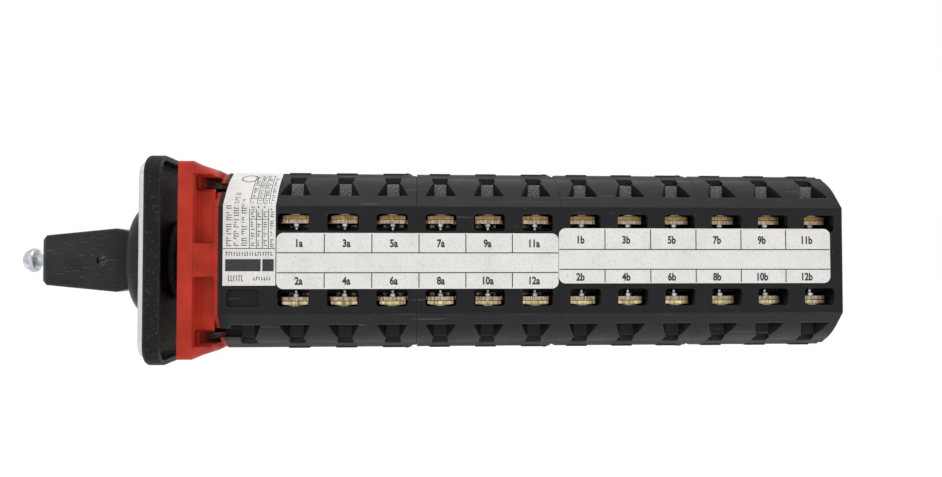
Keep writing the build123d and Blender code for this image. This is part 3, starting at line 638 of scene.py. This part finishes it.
class SWITCH_OT_housing(bpy.types.Operator):
    """Finish the housings and add their window lips, guide faces and locking bumps"""

    bl_idname = "switch.housing"
    bl_label = "Housing"

    def execute(self, context):
        sizes = context.scene.switch_sizes
        give_finish(("housing", "rear_cover", "front_bush"), "black_polyamide")
        lip = sizes.lip / MM
        window_lips("window_lips_near", -1, TERMINAL_XS, lip)
        window_lips("window_lips_far", 1, [LATCH_X, *TERMINAL_XS], lip)
        self.guide_faces(sizes.ridge / MM)
        self.locking_bumps()
        return {"FINISHED"}

    def guide_faces(self, ridge):
        """Scored plates on the funnels' rear walls, in the upper row only, as lit copies: the lower row's
        walls lie in shade and get none. Height is the higher of two crossing sets of ridges.

        A ridge is a cosine of the distance across it.
        """
        half = FUNNEL_W / 2 - GUIDE_MARGIN
        across, up = np.linspace(-half, half, 30), np.linspace(SCORED_LOW, SCORED_HIGH, 34)
        x, z = np.meshgrid(across, up, indexing="ij")
        waves = [np.cos(2 * math.pi * (x + tilt * z) / (ridge * math.sqrt(2))) for tilt in (1, -1)]
        height = GUIDE_BASE + GUIDE_RIDGE * (np.maximum(*waves) + 1) / 2
        height[[0, -1]] = 0.0
        height[:, [0, -1]] = 0.0
        count = x.size
        surface_faces = grid_faces(*x.shape)
        points, faces = [], []
        for side in (-1, 1):
            turned = surface_faces if side > 0 else surface_faces[:, ::-1]
            for centre in TERMINAL_XS:
                start = len(points) * count
                faces += [turned[:, ::-1] + start, turned + start + count]
                points += [
                    np.stack([centre + x, side * (FUNNEL_Y + level), z], axis=-1)
                    for level in (height, np.full_like(height, -GUIDE_SUNK))
                ]
        piece = new_piece("guide_faces", np.array(points), np.vstack(faces), "scored")
        piece.modifiers.new("weld", "WELD").merge_threshold = 1.5 * GUIDE_SUNK * MM

    def locking_bumps(self):
        """Low domes on the top and bottom rails before each seam: half ellipsoids on a grid of two angles."""
        around = np.linspace(0, 2 * math.pi, 16, endpoint=False)
        up = np.linspace(-0.5, math.pi / 2 - 0.01, 7)
        turn, rise = np.meshgrid(around, up, indexing="ij")
        dome = np.stack([
            BUMP_X * np.cos(turn) * np.cos(rise),
            BUMP_Y * np.sin(turn) * np.cos(rise),
            BUMP_Z * np.sin(rise),
        ], axis=-1)
        spots = [
            (x - BUMP_BEFORE, y, side) for x in SEAM_XS for y in (-BUMP_SIDE, BUMP_SIDE) for side in (1, -1)
        ]
        rows, columns = turn.shape
        walls = grid_faces(rows, columns, wrap_rows=True)
        foot = np.arange(rows) * columns
        caps = np.array([foot, foot[::-1] + columns - 1])
        points, faces = [], []
        for k, (x, y, side) in enumerate(spots):
            points.append(dome * [1, 1, side] + [x, y, side * (HOUSING_HIGH[2] - BUMP_SUNK)])
            for part in (walls, caps):
                faces += ((part if side > 0 else part[:, ::-1]) + k * turn.size).tolist()
        new_piece("locking_bumps", np.array(points), faces, "black_polyamide", smooth=True)


# The dial's ring: inner and outer radius. Its numbers: radius, type size and boldness
RING_IN, RING_OUT, RING_THICK = 15.6, 15.9, 0.04
NUMBER_R, NUMBER_SIZE, NUMBER_BOLD = 18.6, 5.2, 0.08


class SWITCH_OT_front(bpy.types.Operator):
    """Finish the flange, frame, seal and dial plate, and print the dial's marks"""

    bl_idname = "switch.front"
    bl_label = "Front end"

    def execute(self, context):
        give_finish(("mounting_flange",), "red_polyamide")
        give_finish(("panel_seal",), "rubber")
        give_finish(("front_frame",), "black_textured")
        give_finish(("dial_plate",), "silver_sheet")
        self.dial_marks(low_high("dial_plate")[0][0])
        return {"FINISHED"}

    def dial_marks(self, face_x, steps=96):
        """A ring, a rectangle carried round a circle, with 0 at the top and 1 a quarter turn on."""
        turn = np.linspace(0, 2 * math.pi, steps, endpoint=False)[:, None]
        radius = np.array([RING_IN, RING_OUT, RING_OUT, RING_IN])
        level = np.array([0, 0, -RING_THICK, -RING_THICK])
        x = np.broadcast_to(face_x + level, (steps, 4))
        ring = np.stack([x, radius * np.cos(turn), radius * np.sin(turn)], axis=-1)
        new_piece("dial_ring", ring, grid_faces(steps, 4, True, True), "ink")
        words = [("0", face_x - 0.01, 0.0, NUMBER_R), ("1", face_x - 0.01, NUMBER_R, 0.0)]
        lettering("dial_numbers", words, NUMBER_SIZE, ON_DIAL, NUMBER_BOLD, depth=0.06, curve_steps=5)


class SWITCH_OT_handle(bpy.types.Operator):
    """Finish the handle and its screws"""

    bl_idname = "switch.handle"
    bl_label = "Handle"

    def execute(self, context):
        give_finish(("handle",), "black_satin")
        give_finish(("handle_screw",), "zinc_steel")
        give_finish(("handle_grub_screw",), "oxide")
        return {"FINISHED"}


class SWITCH_OT_works(bpy.types.Operator):
    """Finish the shaft, latch, cams, contacts, springs and tie screws"""

    bl_idname = "switch.works"
    bl_label = "Works"

    def execute(self, context):
        give_finish(("shaft", "stop_plate", "tie_screws", "tie_nuts"), "zinc_steel")
        give_finish(("latch_wheel", "latch_follower", "cams", "plungers"), "natural_acetal")
        give_finish(("latch_springs", "contact_springs"), "spring_steel")
        give_finish(("contact_bridges",), "copper")
        return {"FINISHED"}


class SWITCH_OT_terminals(bpy.types.Operator):
    """Finish the terminal plates and screws"""

    bl_idname = "switch.terminals"
    bl_label = "Terminals"

    def execute(self, context):
        give_finish(("fixed_contacts",), "nickel_plate")
        give_finish(("clamp_plates",), "brass_plate")
        give_finish(("terminal_screws",), "zinc_steel")
        return {"FINISHED"}


LABEL_HIGH, LABEL_R, LABEL_CELLS = 13.15, 1.6, 6

# Heights on each label: its two long rules, then the middles of its two lines of numbers
LABEL_A = (1.71, -2.96), (3.85, -4.95)
LABEL_B = (2.55, -2.2), (4.75, -4.1)

# Numbers' boldness and width against their height, and how far they stand left of their cell's middle
LETTER_BOLD, LETTER_NARROW, LETTER_LEFT = 0.035, 0.8, 0.4

# Blank at the ends of the long rules and of the dividers, and how far rules and numbers are sunk in the label
RULE_MARGIN, DIVIDER_MARGIN, RULE_SUNK, LETTER_SUNK = 0.1, 0.25, 0.01, 0.02

# The label's rim: how deep the eased edge goes, and how much smaller the front is
RIM_DEEP, RIM_SHRINK = 0.03, 0.9995


class SWITCH_OT_labels(bpy.types.Operator):
    """Lay the two terminal labels with their rules and numbers"""

    bl_idname = "switch.labels"
    bl_label = "Terminal labels"

    def execute(self, context):
        sizes = context.scene.switch_sizes
        thick, rule, height = sizes.label / MM, sizes.rule / MM, sizes.letters / MM
        give_finish(("terminal_label_a",), "paper")
        self.printing("a", *low_high("terminal_label_a"), *LABEL_A, rule, height)
        low, high = low_high("terminal_label_b")
        high[2] = low[2] + LABEL_HIGH
        sheet = self.sheet("label_sheet_b", low, high, thick)
        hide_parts("terminal_label_b")
        self.printing("b", low, high, *LABEL_B, rule, height)
        return {"FINISHED"}

    def sheet(self, name, low, high, thick):
        """A flat label: a rounded rectangle carried from its back to its front, with a faintly eased rim."""
        middle, size = (low + high) / 2, high - low
        centres, directions = rounded_outline(size[0], size[2], LABEL_R)
        outline = centres + LABEL_R * directions
        count, front = len(outline), FLAT_Y - thick
        rings = [
            np.insert(middle[[0, 2]] + outline * shrink, 1, y, axis=1)
            for y, shrink in ((FLAT_Y, 1.0), (front + RIM_DEEP, 1.0), (front, RIM_SHRINK))
        ]
        walls = grid_faces(3, count, wrap_columns=True)[:, ::-1].tolist()
        ends = [list(range(count)), list(range(3 * count - 1, 2 * count - 1, -1))]
        piece = new_piece(name, np.array(rings), walls + ends, "paper")
        return piece

    def printing(self, row, low, high, rules_z, numbers_z, rule, height):
        """Rules and numbers: two lines along the label, dividers between cells, odd above and even below."""
        face = low[1] - PRINT_THICK
        pitch = (high[0] - low[0]) / LABEL_CELLS
        lines = [(low[0] + RULE_MARGIN, high[0] - RULE_MARGIN, z - rule / 2, z + rule / 2) for z in rules_z]
        for k in range(1, LABEL_CELLS):
            x = low[0] + k * pitch
            lines.append((x - rule / 2, x + rule / 2, rules_z[0], high[2] - DIVIDER_MARGIN))
            lines.append((x - rule / 2, x + rule / 2, low[2] + DIVIDER_MARGIN, rules_z[1]))
        left, right, bottom, top = np.array(lines).T
        lows = np.stack([left, np.full_like(left, face), bottom], axis=1)
        highs = np.stack([right, np.full_like(left, low[1] + RULE_SUNK), top], axis=1)
        new_piece(f"label_rules_{row}", *bars(lows, highs), "ink")
        words = [
            (f"{2 * k + odd}{row}", low[0] + (k + 0.5) * pitch - LETTER_LEFT, face + LETTER_SUNK, z)
            for k in range(LABEL_CELLS) for odd, z in enumerate(numbers_z, 1)
        ]
        numbers = lettering(
            f"terminal_numbers_{row}", words, height, ON_NEAR_SIDE, LETTER_BOLD * height, LETTER_NARROW)


# The rating label's table: upright rules from the label's left edge, and its cross rules and foot as runs
TABLE_XS = (6.1, 7.7, 9.05, 10.45)
TABLE_RUNS = (9.5, 15.0, 20.0, 25.4)
TABLE_FOOT = 2.7
TABLE_RULE = 0.07

TABLE_CELLS = ((2.8, 9.5), (9.5, 15.0), (15.0, 20.0), (20.0, 25.2))

# The rule across the label's whole width, and the two black blocks under it. Each is x low, x high, run low
# and run high, with x from the label's left edge, or from its right edge where it is negative.
CROSS_RULE = (0.1, -0.1, 2.6, 2.75)
BLACK_BLOCKS = ((0.6, 8.7, -2.6, 0.2), (9.1, -0.4, -2.6, 0.2))

# Lines of print beside the table: distance from the left edge, run at the start and end, height of capitals
UPRIGHT_LINES = ((1.4, 3.3, 13.0, 1.15), (3.1, 3.3, 17.8, 1.15), (4.9, 3.3, 15.2, 1.15))
EDGE_LINE = (3.0, 24.5, 0.7)
CELL_START, CELL_END, CELL_CAPITAL = 0.5, 0.6, 0.8

# Lines of print that run level, given as the blocks are
LEVEL_LINES = ((0.8, -0.6, 1.0, 1.9), (1.3, 4.8, -4.9, -3.5), (7.1, 11.2, -4.7, -3.9))

# Share of letters that are half as tall, and of letters with a foot
HALF_TALL, WITH_FOOT = 0.35, 0.6

# Strokes of print: width, length of a foot, steps from stroke to stroke along a line, and space between words
STROKE, STROKE_FOOT, STROKE_STEP, LEVEL_STEP, WORD_SPACE = 0.16, 0.42, 0.55, 0.6, 0.5

# The ring near the upper end: distance from the left edge, run, inner and outer radius
MARK_X, MARK_RUN, MARK_IN, MARK_OUT = 4.6, 23.6, 1.75, 2.0


class SWITCH_OT_rating_label(bpy.types.Operator):
    """Print the rating label with plain rules and bars in place of words"""

    bl_idname = "switch.rating_label"
    bl_label = "Rating label"

    def execute(self, context):
        give_finish(("rating_label",), "paper")
        low, high = low_high("rating_label")
        top = context.scene.switch_sizes.label / MM
        left, right = low[0], high[0]
        columns = [left + x for x in TABLE_XS]
        rules = self.across([CROSS_RULE], left, right)
        rules += [(x - TABLE_RULE, x + TABLE_RULE, TABLE_FOOT, TABLE_RUNS[-1]) for x in columns]
        rules += [(columns[0], columns[-1], run - TABLE_RULE, run + TABLE_RULE) for run in TABLE_RUNS]
        rules += self.across(BLACK_BLOCKS, left, right)
        new_piece("rating_rules", *skin_bars(rules, top), "ink")
        strokes = skin_bars(self.strokes(left, right, columns), top, samples=3)
        new_piece("rating_strokes", *strokes, "ink")
        self.mark(left, top)
        return {"FINISHED"}

    def across(self, spans, left, right):
        """Spans with their x measured on the label made places in x."""
        return [(*((right if x < 0 else left) + x for x in span[:2]), *span[2:]) for span in spans]

    def strokes(self, left, right, columns):
        """Short strokes that stand for lines of print, words apart, drawn from a seeded sequence.

        On a line that runs up the side, a stroke lies across it. Some letters are half as tall, and some have
        a foot. Lines that run level have upright strokes with a foot at the bottom or the top.
        """
        chance = np.random.default_rng(5)
        spans = []
        running = [(left + x, *line) for x, *line in UPRIGHT_LINES]
        for x in [(a + b) / 2 for a, b in zip(columns, columns[1:])]:
            running += [(x, start + CELL_START, end - CELL_END, CELL_CAPITAL) for start, end in TABLE_CELLS]
        running.append(((columns[-1] + right) / 2, *EDGE_LINE))
        for x, run, end, capital in running:
            base = x - capital / 2
            while run < end:
                for _ in range(int(chance.integers(2, 6))):
                    if run < end:
                        tall = capital * (0.5 if chance.random() < HALF_TALL else 1.0)
                        spans.append((base, base + tall, run, run + STROKE))
                        if chance.random() < WITH_FOOT:
                            spans.append((base, base + STROKE, run, run + STROKE_FOOT))
                    run += STROKE_STEP
                run += WORD_SPACE
        for x, end, low_run, high_run in self.across(LEVEL_LINES, left, right):
            while x < end:
                spans.append((x, x + STROKE, low_run, high_run))
                if chance.random() < WITH_FOOT:
                    side = low_run if chance.random() < 0.5 else high_run - STROKE
                    spans.append((x, min(x + STROKE_FOOT, end), side, side + STROKE))
                x += LEVEL_STEP
        return spans

    def mark(self, left, top, steps=40):
        """A plain ring near the upper end: a rectangle carried round a circle that is bent with the skin."""
        turn = np.linspace(0, 2 * math.pi, steps, endpoint=False)[:, None]
        radius = np.array([MARK_IN, MARK_OUT, MARK_OUT, MARK_IN])
        level = top + np.array([0, 0, PRINT_THICK, PRINT_THICK])
        x = left + MARK_X + radius * np.cos(turn)
        points = on_skin(x, MARK_RUN + radius * np.sin(turn), level + 0 * x)
        new_piece("rating_mark", points, grid_faces(steps, 4, True, True), "ink")


# ---------------------------------------------------------------- stage

# Soft boxes: place from the switch's middle and side length in metres, power in watts
LIGHTS = {
    "top_light": ((0.02, -0.12, 0.6), 0.45, 1.2),
    "front_light": ((-0.35, -0.6, 0.25), 0.4, 0.25),
    "low_light": ((0.1, -0.5, -0.2), 0.25, 0.04),
    "rear_light": ((0.1, 0.6, 0.4), 0.5, 0.6),
}
CAMERA_SPOT = (0.054, -0.2134, -0.00045)
CAMERA_AHEAD = Vector((0.0655, 0.9974, 0.0284))
FLOOR_REACH = 6.0


class SWITCH_OT_stage(bpy.types.Operator):
    """Set the camera, the pale floor, the surround and the soft lights"""

    bl_idname = "switch.stage"
    bl_label = "Stage"

    def execute(self, context):
        scene = context.scene
        self.floor(CAD_BOX[0].z - scene.switch_sizes.floor_drop)
        self.camera(scene)
        self.surround(scene)
        middle = (CAD_BOX[0] + CAD_BOX[1]) / 2
        for name, (offset, size, power) in LIGHTS.items():
            self.light(name, middle + Vector(offset), middle, size, power)
        return {"FINISHED"}

    def floor(self, level):
        """A wide square board, its corners as far out as the reach."""
        mesh = bpy.data.meshes.new("floor")
        corners = [(x * FLOOR_REACH, y * FLOOR_REACH, level) for x, y in ((-1, -1), (1, -1), (1, 1), (-1, 1))]
        mesh.from_pydata(corners, [], [(0, 1, 2, 3)])
        mesh.materials.append(finish("floor"))
        board = bpy.data.objects.new("floor", mesh)
        bpy.context.scene.collection.objects.link(board)

    def camera(self, scene):
        """A camera square to the near side, 213 mm in front of the shaft, that looks very slightly up."""
        data = bpy.data.cameras.new("camera")
        data.lens, data.sensor_width, data.clip_start = 31.6, 36.0, 0.01
        camera = bpy.data.objects.new("camera", data)
        scene.collection.objects.link(camera)
        camera.location = CAMERA_SPOT
        camera.rotation_mode = "QUATERNION"
        camera.rotation_quaternion = CAMERA_AHEAD.to_track_quat("-Z", "Y")
        scene.camera = camera

    def surround(self, scene):
        """An even white sky."""
        world = bpy.data.worlds.new("surround")
        scene.world = world
        world.use_nodes = True
        sky = world.node_tree.nodes["Background"]
        sky.inputs["Color"].default_value = rgba("#FFFFFF")
        sky.inputs["Strength"].default_value = 1.0

    def light(self, name, spot, target, size, power):
        """A square soft box at a spot, facing a target."""
        data = bpy.data.lights.new(name, "AREA")
        data.size, data.energy = size, power
        lamp = bpy.data.objects.new(name, data)
        bpy.context.scene.collection.objects.link(lamp)
        lamp.location = spot
        lamp.rotation_mode = "QUATERNION"
        lamp.rotation_quaternion = (target - spot).to_track_quat("-Z", "Y")


OPERATORS = (
    SWITCH_OT_stage,
    SWITCH_OT_housing,
    SWITCH_OT_front,
    SWITCH_OT_handle,
    SWITCH_OT_works,
    SWITCH_OT_terminals,
    SWITCH_OT_labels,
    SWITCH_OT_rating_label,
)


class SWITCH_PT_panel(bpy.types.Panel):
    """Lists the sizes, the colours and the steps."""

    bl_idname = "SWITCH_PT_panel"
    bl_label = "Rotary Isolator Switch"
    bl_space_type = "VIEW_3D"
    bl_region_type = "UI"
    bl_category = "Switch"

    def draw(self, context):
        for group in (context.scene.switch_sizes, context.scene.switch_colours):
            column = self.layout.column(align=True)
            for name in group.bl_rna.properties.keys():
                if name not in ("rna_type", "name"):
                    column.prop(group, name)
        for operator in OPERATORS:
            self.layout.operator(operator.bl_idname)


CLASSES = (SwitchColours, SwitchSizes, *OPERATORS, SWITCH_PT_panel)


def register():
    """Registers the classes and gives the scene its two groups of settings."""
    for cls in CLASSES:
        bpy.utils.register_class(cls)
    bpy.types.Scene.switch_colours = bpy.props.PointerProperty(type=SwitchColours)
    bpy.types.Scene.switch_sizes = bpy.props.PointerProperty(type=SwitchSizes)


def unregister():
    """Takes back what register gave."""
    del bpy.types.Scene.switch_sizes
    del bpy.types.Scene.switch_colours
    for cls in reversed(CLASSES):
        bpy.utils.unregister_class(cls)


def main():
    register()
    bpy.context.scene.view_settings.view_transform = "Standard"
    for operator in OPERATORS:
        group, step = operator.bl_idname.split(".")
        getattr(getattr(bpy.ops, group), step)()


if __name__ == "__main__":
    main()
